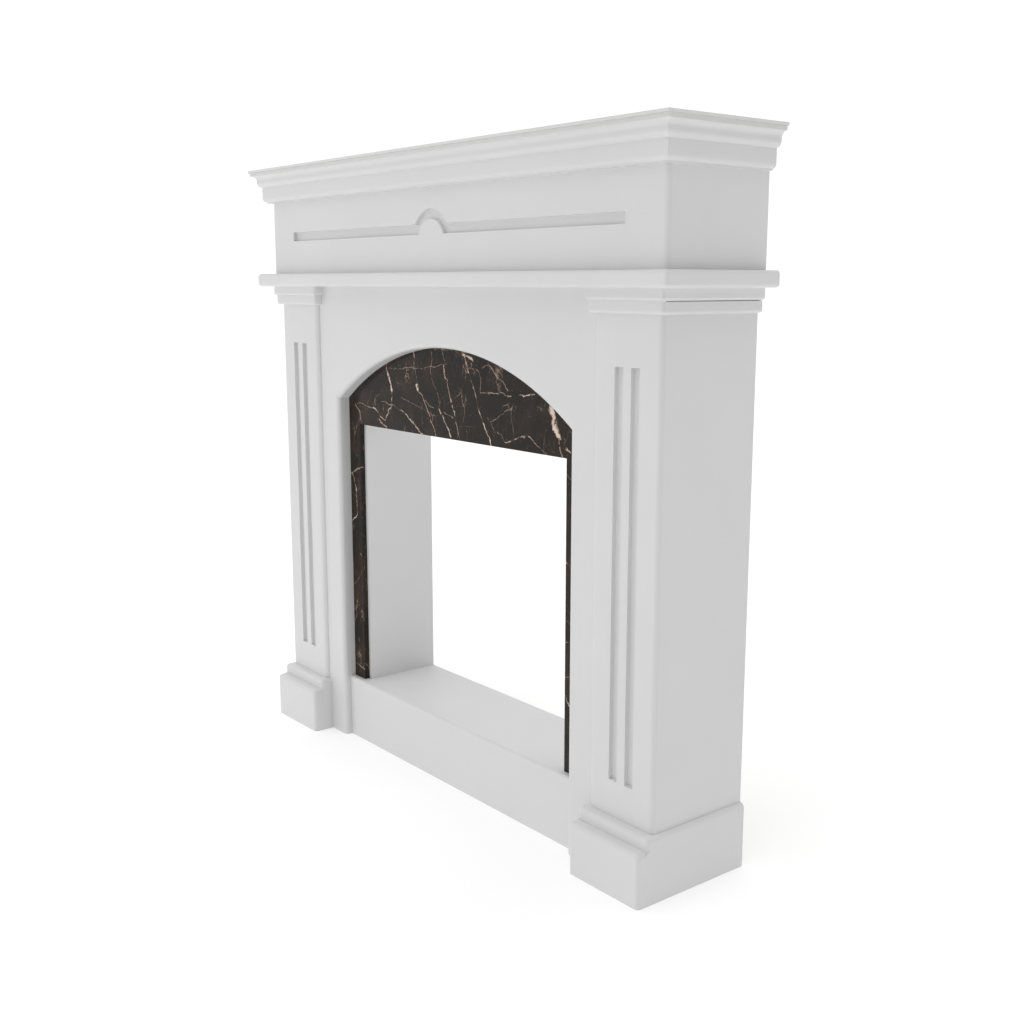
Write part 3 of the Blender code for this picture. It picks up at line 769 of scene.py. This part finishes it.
def dark_marble():
    """Polished dark marble: brown clouds, listed tan and cream veins, and nets of hair veins."""
    material, tree, shader = new_material("dark veined marble")
    if tree is None:
        return material
    finish = bpy.context.scene.mantel_finish
    place = object_place(tree)

    # The coordinates bend and jitter a little, so that no vein runs straight
    bent = vectors(tree, "ADD", place, wander(tree, place, BEND_SCALE, BEND_REACH))
    bent = vectors(tree, "ADD", bent, wander(tree, place, JITTER_SCALE, JITTER_REACH))
    flat = vectors(tree, "MULTIPLY", bent, (1.0, 0.0, 1.0))

    # The veins swell, thin out and break
    breadth = stepped(tree, noise(tree, place, 48.0, 3.0, 0.6), 0.28, 0.72, 0.35, 1.55)
    broken = stepped(tree, noise(tree, place, 75.0, 3.0, 0.6), 0.34, 0.52, 0.25, 1.0)
    veins = 0.0
    for width, strength, points in VEINS:
        for nearer, farther in zip(points, points[1:]):
            first = Vector((nearer[0], 0.0, nearer[1])) / 100
            last = Vector((farther[0], 0.0, farther[1])) / 100
            along = (last - first).normalized()
            across = Vector((-along.z, 0.0, along.x))
            stroke = placed_group(
                tree, vein_group(), Place=flat, Breadth=breadth, Before=veins,
                Along=along, Middle=along.dot(first + last) / 2, Reach=(last - first).length / 2,
                Across=across, Offset=across.dot(first), Width=width / 1000, Strength=strength)
            veins = stroke.outputs["Mask"]
    veins = maths(tree, "MULTIPLY", veins, broken)

    # Hair veins slant across the stone as a coarse and a fine net, in patches
    lean = tree.nodes.new("ShaderNodeMapping")
    lean.vector_type = "POINT"
    plug(tree, lean.inputs["Vector"], bent)
    lean.inputs["Rotation"].default_value = (0.0, HAIR_LEAN, 0.0)
    lean.inputs["Scale"].default_value = (1.0, 1.0, HAIR_STRETCH)
    hair = cell_edges(tree, lean.outputs["Vector"], NET_SCALE, 0.030, 1.0)
    fine = cell_edges(tree, lean.outputs["Vector"], CRACKLE_SCALE, 0.05, 0.55)
    patches = stepped(tree, noise(tree, place, 17.0, 3.0, 0.6), 0.43, 0.64, 0.0, 0.46)
    hair = maths(tree, "MULTIPLY", maths(tree, "MAXIMUM", hair, fine), patches)
    specks = stepped(tree, noise(tree, place, 240.0, 2.0, 0.5), 0.66, 0.76, 0.0, 0.40)
    marks = maths(tree, "MAXIMUM", maths(tree, "MAXIMUM", veins, hair), specks)

    # The ground darkens and browns in clouds, with a halo, a body and a pale core to each vein
    clouds = noise(tree, bent, 11.0, 6.0, 0.62)
    clouds = stepped(tree, clouds, 0.44, 0.70)
    ground = mixed(tree, clouds, opaque(finish.stone_ground), opaque(finish.stone_cloud))
    fog = maths(tree, "MULTIPLY", stepped(tree, marks, 0.0, 0.35), 0.62)
    halo = mixed(tree, fog, ground, opaque(finish.vein_edge))
    body = mixed(tree, stepped(tree, marks, 0.20, 0.62), halo, opaque(finish.vein_colour))
    plug(tree, shader.inputs["Base Color"], mixed(
        tree, stepped(tree, marks, 0.62, 0.98), body, opaque(finish.vein_core)))
    plug(tree, shader.inputs["Roughness"], stepped(
        tree, marks, 0.0, 1.0, finish.stone_roughness, finish.stone_roughness + 0.10))
    shader.inputs["Specular IOR Level"].default_value = finish.stone_gloss
    waves = noise(tree, place, 14.0, 1.0, 0.4)
    plug(tree, shader.inputs["Normal"], relief(tree, waves, STONE_WAVES))
    return material


# Pieces

def crown_profile(reach, sizes):
    """The crown moulding's section, as points of distance in from the lip and height."""
    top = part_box("top_board")[0].z - sizes.seam
    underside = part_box("crown_front")[0].z
    steps = sizes.curve_steps
    cove_centre = (LIP_STEP, top - COVE_FILLET - sizes.cove_radius)
    neck_in = LIP_STEP + sizes.cove_radius
    ovolo_centre = (neck_in + sizes.ovolo_radius, cove_centre[1] - NECK)
    ovolo_sweep = math.acos((ovolo_centre[0] - FASCIA_STEP) / sizes.ovolo_radius)
    nose_in = FASCIA_STEP + sizes.bullnose_radius
    nose_sweep = math.acos((nose_in - DRIP_STEP) / sizes.bullnose_radius)
    nose_centre = (nose_in, underside + DRIP + sizes.bullnose_radius * math.sin(nose_sweep))
    points = [(LIP_STEP, top)]
    points += arc(cove_centre, sizes.cove_radius, math.pi / 2, 0.0, steps)
    points += arc(ovolo_centre, sizes.ovolo_radius, math.pi, math.pi + ovolo_sweep, steps)
    points += arc(nose_centre, sizes.bullnose_radius, math.pi, math.pi + nose_sweep, steps)
    points += [(DRIP_STEP, underside), (reach, underside), (reach, top)]
    return points


class MANTEL_OT_crown(Operator):
    """Make the top board and the crown moulding with its mitred returns"""
    bl_idname = "mantel.crown"
    bl_label = "Crown moulding"

    def execute(self, context):
        sizes = context.scene.mantel_sizes
        low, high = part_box("top_board")
        top = board(low, high)
        edges = edges_on(top, (Y, low.y), (Z, high.z))
        edges += end_edges(top, low, high, high.z) + front_corners(top, low, high)
        rounded(top, edges, sizes.lip_round, sizes.round_steps // 2)
        inner = high.x - LIP_STEP
        outer = high.x + OVERCUT
        back = high.y + OVERCUT
        rebate = [
            (-outer, back), (-outer, low.y - OVERCUT), (outer, low.y - OVERCUT), (outer, back),
            (inner, back), (inner, low.y + LIP_STEP), (-inner, low.y + LIP_STEP), (-inner, back),
        ]
        cut = extruded(rebate, Z, low.z - OVERCUT, high.z - LIP)
        painted("top_board", top, hidden=[(0, 0, -1)], cuts=[cut])

        half_seam = sizes.seam / 2
        section = crown_profile(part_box("frieze_front")[0].y - low.y - sizes.seam, sizes)
        run = extruded([(low.y + inward, height) for inward, height in section], X, -high.x, high.x)
        for _, side in SIDES:
            outward = Vector((side, 1.0, 0.0)).normalized()
            cut_off(run, Vector((side * high.x, low.y, 0.0)) - outward * half_seam, outward)
        painted("crown_front", run)
        section = crown_profile(high.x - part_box("frieze_front")[1].x - sizes.seam, sizes)
        for name, side in SIDES:
            outline = [(side * (high.x - inward), height) for inward, height in section]
            run = extruded(outline, Y, low.y, high.y)
            forward = Vector((-side, -1.0, 0.0)).normalized()
            cut_off(run, Vector((side * high.x, low.y, 0.0)) - forward * half_seam, forward)
            painted("crown_return_" + name, run, hidden=[(-side, 0, 0)])
        return {"FINISHED"}


def groove_outline(low, high, grow, steps):
    """The frieze's groove, grown by a distance: straight runs that meet a half ring over the middle."""
    end = high.x - GROOVE_END + grow
    centre = low.z + GROOVE_RISE
    bottom = centre - GROOVE_WIDTH / 2 - grow
    top = centre + GROOVE_WIDTH / 2 + grow
    hump = (0.0, centre - HUMP_DROP)
    outer_radius = HUMP_RADIUS + grow
    inner_radius = HUMP_RADIUS - GROOVE_WIDTH - grow
    outer_start = math.asin((top - hump[1]) / outer_radius)
    inner_start = math.asin((bottom - hump[1]) / inner_radius)
    points = [(-end, bottom), (-end, top)]
    points += arc(hump, outer_radius, math.pi - outer_start, outer_start, steps)
    points += [(end, top), (end, bottom)]
    points += arc(hump, inner_radius, inner_start, math.pi - inner_start, steps)
    return points


class MANTEL_OT_frieze(Operator):
    """Make the frieze: the grooved front board and the two side boards"""
    bl_idname = "mantel.frieze"
    bl_label = "Frieze"

    def execute(self, context):
        sizes = context.scene.mantel_sizes
        low, high = met("frieze_front", sizes, high_z="top_board", low_z="mantel_shelf")
        front = board(low, high)
        rounded(front, front_corners(front, low, high), sizes.frieze_round, sizes.round_steps)
        cad_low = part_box("frieze_front")[0]
        groove = routed(
            lambda grow: groove_outline(cad_low, high, grow, sizes.arch_steps // 2), low.y, sizes)
        painted("frieze_front", front, cuts=[groove])
        for name, side in SIDES:
            node = "frieze_side_" + name
            low, high = met(node, sizes, high_z="top_board", low_z="mantel_shelf", low_y="frieze_front")
            painted(node, board(low, high), hidden=[(-side, 0, 0)])
        return {"FINISHED"}


class MANTEL_OT_shelf(Operator):
    """Make the mantel shelf with its rounded edges"""
    bl_idname = "mantel.shelf"
    bl_label = "Mantel shelf"

    def execute(self, context):
        sizes = context.scene.mantel_sizes
        low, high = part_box("mantel_shelf")
        shelf = board(low, high)
        edges = front_corners(shelf, low, high)
        for height in (low.z, high.z):
            edges += edges_on(shelf, (Y, low.y), (Z, height)) + end_edges(shelf, low, high, height)
        rounded(shelf, edges, sizes.shelf_round, sizes.round_steps)
        painted("mantel_shelf", shelf)
        return {"FINISHED"}


def inner_outer(side, low, high):
    """The nearer and the farther of two corners' places from the middle, on one side of it."""
    return (low.x, high.x) if side > 0 else (high.x, low.x)


def round_panel_edge(name, side, low, high, sizes):
    """A board whose inner back corner is notched round the arched panel's edge."""
    inner, outer = inner_outer(side, low, high)
    notch, _ = inner_outer(side, *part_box("pilaster_front_" + name))
    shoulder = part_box("arch_panel")[0].y - sizes.seam
    outline = [
        (inner, low.y), (outer, low.y), (outer, high.y),
        (notch, high.y), (notch, shoulder), (inner, shoulder),
    ]
    return extruded(outline, Z, low.z, high.z)


def oversailing(name, side, low, high, height, radius, sizes):
    """A notched board that stands out over a pilaster, rounded at its front corners and at a height."""
    shape = round_panel_edge(name, side, low, high, sizes)
    edges = edges_on(shape, (Y, low.y), (Z, height))
    edges += end_edges(shape, low, high, height) + front_corners(shape, low, high)
    return rounded(shape, edges, radius, sizes.round_steps)


class MANTEL_OT_capitals(Operator):
    """Make the two boards at the head of each pilaster"""
    bl_idname = "mantel.capitals"
    bl_label = "Capitals"

    def execute(self, context):
        sizes = context.scene.mantel_sizes
        for name, side in SIDES:
            node = "capital_upper_" + name
            low, high = met(node, sizes, high_z="mantel_shelf")
            painted(node, oversailing(name, side, low, high, low.z, sizes.capital_round, sizes))
            node = "capital_lower_" + name
            low, high = met(node, sizes, high_z="capital_upper_" + name)
            shape = oversailing(name, side, low, high, low.z, sizes.capital_round, sizes)
            _, outer = inner_outer(side, low, high)
            ends = sorted((outer - side * OPEN_JOINT_DEPTH, outer + side * OVERCUT))
            joint_low = (ends[0], low.y + sizes.capital_round, high.z - OPEN_JOINT)
            joint_high = (ends[1], high.y + OVERCUT, high.z + OVERCUT)
            painted(node, shape, cuts=[board(joint_low, joint_high)])
        return {"FINISHED"}


def flute_outline(middle, bottom, top, width, grow, fillet):
    """A flute's outline, grown by a distance: a tall slot with small round corners."""
    half = width / 2 + grow
    radius = fillet + max(grow, 0.0)
    bottom -= grow
    top += grow
    corners = (
        (middle + half - radius, top - radius, 0.0), (middle - half + radius, top - radius, 0.5),
        (middle - half + radius, bottom + radius, 1.0), (middle + half - radius, bottom + radius, 1.5),
    )
    points = []
    for x, z, turn in corners:
        points += arc((x, z), radius, math.pi * turn, math.pi * (turn + 0.5), ROUTED_STEPS)
    return points


class MANTEL_OT_pilasters(Operator):
    """Make the pilasters: a fluted front board and two side boards each"""
    bl_idname = "mantel.pilasters"
    bl_label = "Pilasters"

    def execute(self, context):
        sizes = context.scene.mantel_sizes
        for name, side in SIDES:
            cap = "plinth_cap_" + name
            capital = "capital_lower_" + name
            node = "pilaster_front_" + name
            low, high = met(node, sizes, low_z=cap, high_z=capital)
            front = board(low, high)
            rounded(front, front_corners(front, low, high), sizes.pilaster_round, sizes.round_steps)
            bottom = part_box(node)[0].z + FLUTE_FOOT_MARGIN
            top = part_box(capital)[0].z - FLUTE_TOP_MARGIN
            middle = (low.x + high.x) / 2
            flutes = []
            for flute in range(FLUTE_COUNT):
                place = middle + (flute - (FLUTE_COUNT - 1) / 2) * sizes.flute_spacing
                flutes.append(routed(
                    lambda grow: flute_outline(
                        place, bottom, top, sizes.flute_width, grow, sizes.routed_fillet * 2),
                    low.y, sizes))
            painted(node, front, cuts=flutes)
            for part, inward in (("outer", -side), ("inner", side)):
                node = f"pilaster_{part}_side_{name}"
                low, high = met(node, sizes, low_z=cap, high_z=capital, low_y="pilaster_front_" + name)
                painted(node, board(low, high), hidden=[(inward, 0, 0)])
        return {"FINISHED"}


class MANTEL_OT_plinths(Operator):
    """Make the plinths: a front board with a ledge, two side boards and a cap board each"""
    bl_idname = "mantel.plinths"
    bl_label = "Plinths"

    def execute(self, context):
        sizes = context.scene.mantel_sizes
        for name, side in SIDES:
            cap = "plinth_cap_" + name
            node = "plinth_front_" + name
            low, high = met(node, sizes, high_y=cap)
            front = board(low, high)
            edges = edges_on(front, (Y, low.y), (Z, high.z))
            edges += end_edges(front, low, high, high.z) + front_corners(front, low, high)
            rounded(front, edges, sizes.plinth_round, sizes.round_steps)
            painted(node, front)

            node = "plinth_outer_side_" + name
            low, high = met(node, sizes, high_z=cap)
            painted(node, board(low, high), hidden=[(-side, 0, 0)])

            node = "plinth_inner_side_" + name
            low, high = met(node, sizes, high_z=cap)
            painted(node, round_panel_edge(name, side, low, high, sizes), hidden=[(side, 0, 0)])

            low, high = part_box(cap)
            painted(cap, oversailing(name, side, low, high, high.z, sizes.plinth_round, sizes))
        return {"FINISHED"}


class MANTEL_OT_arch_panel(Operator):
    """Make the panel with the arched opening"""
    bl_idname = "mantel.arch_panel"
    bl_label = "Arched panel"

    def execute(self, context):
        sizes = context.scene.mantel_sizes
        low, high = met("arch_panel", sizes, high_z="mantel_shelf", high_y="marble_facing")
        low.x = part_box("pilaster_inner_side_left")[1].x + sizes.seam
        high.x = -low.x
        side = opening_side("arch_panel")
        apex = opening_top("arch_panel")
        radius = (side ** 2 + ARCH_RISE ** 2) / (2 * ARCH_RISE)
        centre = (0.0, apex - radius)
        spring = math.asin((apex - ARCH_RISE - centre[1]) / radius)
        outline = [(low.x, low.z), (low.x, high.z), (high.x, high.z), (high.x, low.z), (side, low.z)]
        outline += arc(centre, radius, spring, math.pi - spring, sizes.arch_steps)
        outline += [(-side, low.z)]
        panel = extruded(outline, Y, low.y, high.y)
        edges = [
            edge for edge in edges_on(panel, (Y, low.y))
            if all(abs(end.co.x) < side + TOUCH and end.co.z < apex + TOUCH for end in edge.verts)
        ]
        rounded(panel, edges, sizes.arch_round, sizes.round_steps)
        painted("arch_panel", panel)
        return {"FINISHED"}


class MANTEL_OT_marble(Operator):
    """Make the veined marble facing behind the arch"""
    bl_idname = "mantel.marble"
    bl_label = "Marble facing"

    def execute(self, context):
        sizes = context.scene.mantel_sizes
        low, high = met("marble_facing", sizes, low_z="hearth_riser")
        head = opening_top("marble_facing")
        side = opening_side("marble_facing")
        outline = [
            (low.x, low.z), (low.x, high.z), (high.x, high.z), (high.x, low.z),
            (side, low.z), (side, head), (-side, head), (-side, low.z),
        ]
        slab = extruded(outline, Y, low.y, high.y)
        edges = edges_on(slab, (Y, low.y), (Z, head))
        for end in (-side, side):
            edges += edges_on(slab, (X, end), (Y, low.y))
        rounded(slab, edges, sizes.marble_arris, ARRIS_STEPS)
        item = add_object("veined_marble_facing", slab)
        finish_piece(item, "marble_facing", (dark_marble(),))
        return {"FINISHED"}


class MANTEL_OT_hearth(Operator):
    """Make the hearth: its riser and the board behind"""
    bl_idname = "mantel.hearth"
    bl_label = "Hearth"

    def execute(self, context):
        sizes = context.scene.mantel_sizes
        low, high = met("hearth_riser", sizes, high_y="hearth_board")
        riser = board(low, high)
        rounded(riser, edges_on(riser, (Y, low.y), (Z, high.z)), sizes.riser_round, sizes.round_steps)
        painted("hearth_riser", riser)
        low, high = met(
            "hearth_board", sizes, low_x="firebox_side_left", high_x="firebox_side_right")
        painted("hearth_board", board(low, high), hidden=[(0, 0, -1)])
        return {"FINISHED"}


class MANTEL_OT_lining(Operator):
    """Make the boards that line the firebox"""
    bl_idname = "mantel.lining"
    bl_label = "Firebox lining"

    def execute(self, context):
        sizes = context.scene.mantel_sizes
        for name, side in SIDES:
            node = "firebox_side_" + name
            low, high = met(node, sizes, low_y="marble_facing", high_z="firebox_head")
            painted(node, board(low, high), hidden=[(side, 0, 0)])
        low, high = met("firebox_head", sizes, low_y="marble_facing")
        painted("firebox_head", board(low, high), hidden=[(0, 0, 1)])
        return {"FINISHED"}


# Floor, light and camera

def white_floor():
    """A pale matt floor that glows a little, and so runs into the surroundings."""
    material, tree, shader = new_material("pale floor")
    if tree is None:
        return material
    studio = bpy.context.scene.mantel_studio
    shader.inputs["Base Color"].default_value = opaque(studio.floor_colour)
    shader.inputs["Roughness"].default_value = 0.9
    shader.inputs["Specular IOR Level"].default_value = 0.1
    shader.inputs["Emission Color"].default_value = (1.0, 1.0, 1.0, 1.0)
    shader.inputs["Emission Strength"].default_value = studio.floor_glow
    return material


def white_surroundings():
    """Surroundings that the camera sees pure white and that light some sides more than others."""
    studio = bpy.context.scene.mantel_studio
    world = bpy.data.worlds.new("studio")
    world.use_nodes = True
    tree = world.node_tree
    around = tree.nodes.new("ShaderNodeTexCoord").outputs["Generated"]
    light = 0.0
    for toward, strength in SKY:
        facing = vectors(tree, "DOT_PRODUCT", around, Vector(toward).normalized())
        lobe = maths(tree, "POWER", maths(tree, "MAXIMUM", facing, 0.0), SKY_FOCUS)
        light = maths(tree, "MULTIPLY_ADD", lobe, strength, light)
    seen = tree.nodes.new("ShaderNodeLightPath").outputs["Is Camera Ray"]
    light = maths(tree, "MULTIPLY", light, studio.sky_power)
    kept = maths(tree, "MULTIPLY", light, maths(tree, "SUBTRACT", 1.0, seen))
    background = tree.nodes["Background"]
    background.inputs["Color"].default_value = (1.0, 1.0, 1.0, 1.0)
    plug(tree, background.inputs["Strength"], maths(tree, "MULTIPLY_ADD", seen, BACKDROP, kept))
    return world


def add_lamp(name, place, aim, size, power):
    """A soft square lamp that looks at a point and isn't seen or mirrored itself."""
    remove_old(name)
    lamp = bpy.data.lights.new(name, "AREA")
    lamp.shape = "SQUARE"
    lamp.size = size
    lamp.energy = power
    item = bpy.data.objects.new(name, lamp)
    item.location = place
    item.visible_camera = False
    item.visible_glossy = False
    item.rotation_euler = (Vector(aim) - Vector(place)).to_track_quat("-Z", "Y").to_euler()
    bpy.context.scene.collection.objects.link(item)


class MANTEL_OT_studio(Operator):
    """Make the pale floor, the soft light and the camera"""
    bl_idname = "mantel.studio"
    bl_label = "Studio"

    def execute(self, context):
        scene = context.scene
        studio = scene.mantel_studio
        shape = bmesh.new()
        bmesh.ops.create_circle(shape, cap_ends=True, segments=FLOOR_FLATS, radius=FLOOR_RADIUS)
        floor = add_object("floor", shape)
        floor.data.materials.append(white_floor())
        scene.world = white_surroundings()

        add_lamp("key lamp", KEY_PLACE, KEY_AIM, KEY_SIZE, studio.key_power)

        remove_old("camera")
        view = bpy.data.cameras.new("camera")
        view.lens = CAMERA_LENS
        view.sensor_width = CAMERA_SENSOR
        camera = bpy.data.objects.new("camera", view)
        camera.location = CAMERA_PLACE
        camera.rotation_euler = (math.pi / 2 - CAMERA_DIP, 0.0, CAMERA_TURN)
        scene.collection.objects.link(camera)
        scene.camera = camera
        scene.view_settings.view_transform = "Standard"
        scene.view_settings.look = "None"
        return {"FINISHED"}


# Sidebar, and running the file

class MANTEL_PT_sidebar(Panel):
    """The mantelpiece's tools"""
    bl_idname = "MANTEL_PT_sidebar"
    bl_label = "Mantelpiece"
    bl_space_type = "VIEW_3D"
    bl_region_type = "UI"
    bl_category = "Mantelpiece"

    def draw(self, context):
        layout = self.layout
        for operator in PIECES:
            layout.operator(operator.bl_idname)
        for group in ("mantel_sizes", "mantel_finish", "mantel_studio"):
            settings = getattr(context.scene, group)
            for name in settings.bl_rna.properties.keys():
                if name not in ("rna_type", "name"):
                    layout.prop(settings, name)


SETTINGS = (
    ("mantel_sizes", MantelSizes),
    ("mantel_finish", MantelFinish),
    ("mantel_studio", MantelStudio),
)
PIECES = (
    MANTEL_OT_crown, MANTEL_OT_frieze, MANTEL_OT_shelf, MANTEL_OT_capitals, MANTEL_OT_pilasters,
    MANTEL_OT_plinths, MANTEL_OT_arch_panel, MANTEL_OT_marble, MANTEL_OT_hearth, MANTEL_OT_lining,
    MANTEL_OT_studio,
)


def register():
    """Registers the settings, the operators and the panel."""
    for name, group in SETTINGS:
        bpy.utils.register_class(group)
        setattr(bpy.types.Scene, name, PointerProperty(type=group))
    for part in PIECES + (MANTEL_PT_sidebar,):
        bpy.utils.register_class(part)


def unregister():
    """Takes away what register added."""
    for part in reversed(PIECES + (MANTEL_PT_sidebar,)):
        bpy.utils.unregister_class(part)
    for name, group in reversed(SETTINGS):
        delattr(bpy.types.Scene, name)
        bpy.utils.unregister_class(group)


def main():
    """Makes every piece and the studio."""
    register()
    bpy.ops.mantel.crown()
    bpy.ops.mantel.frieze()
    bpy.ops.mantel.shelf()
    bpy.ops.mantel.capitals()
    bpy.ops.mantel.pilasters()
    bpy.ops.mantel.plinths()
    bpy.ops.mantel.arch_panel()
    bpy.ops.mantel.marble()
    bpy.ops.mantel.hearth()
    bpy.ops.mantel.lining()
    bpy.ops.mantel.studio()


if __name__ == "__main__":
    main()
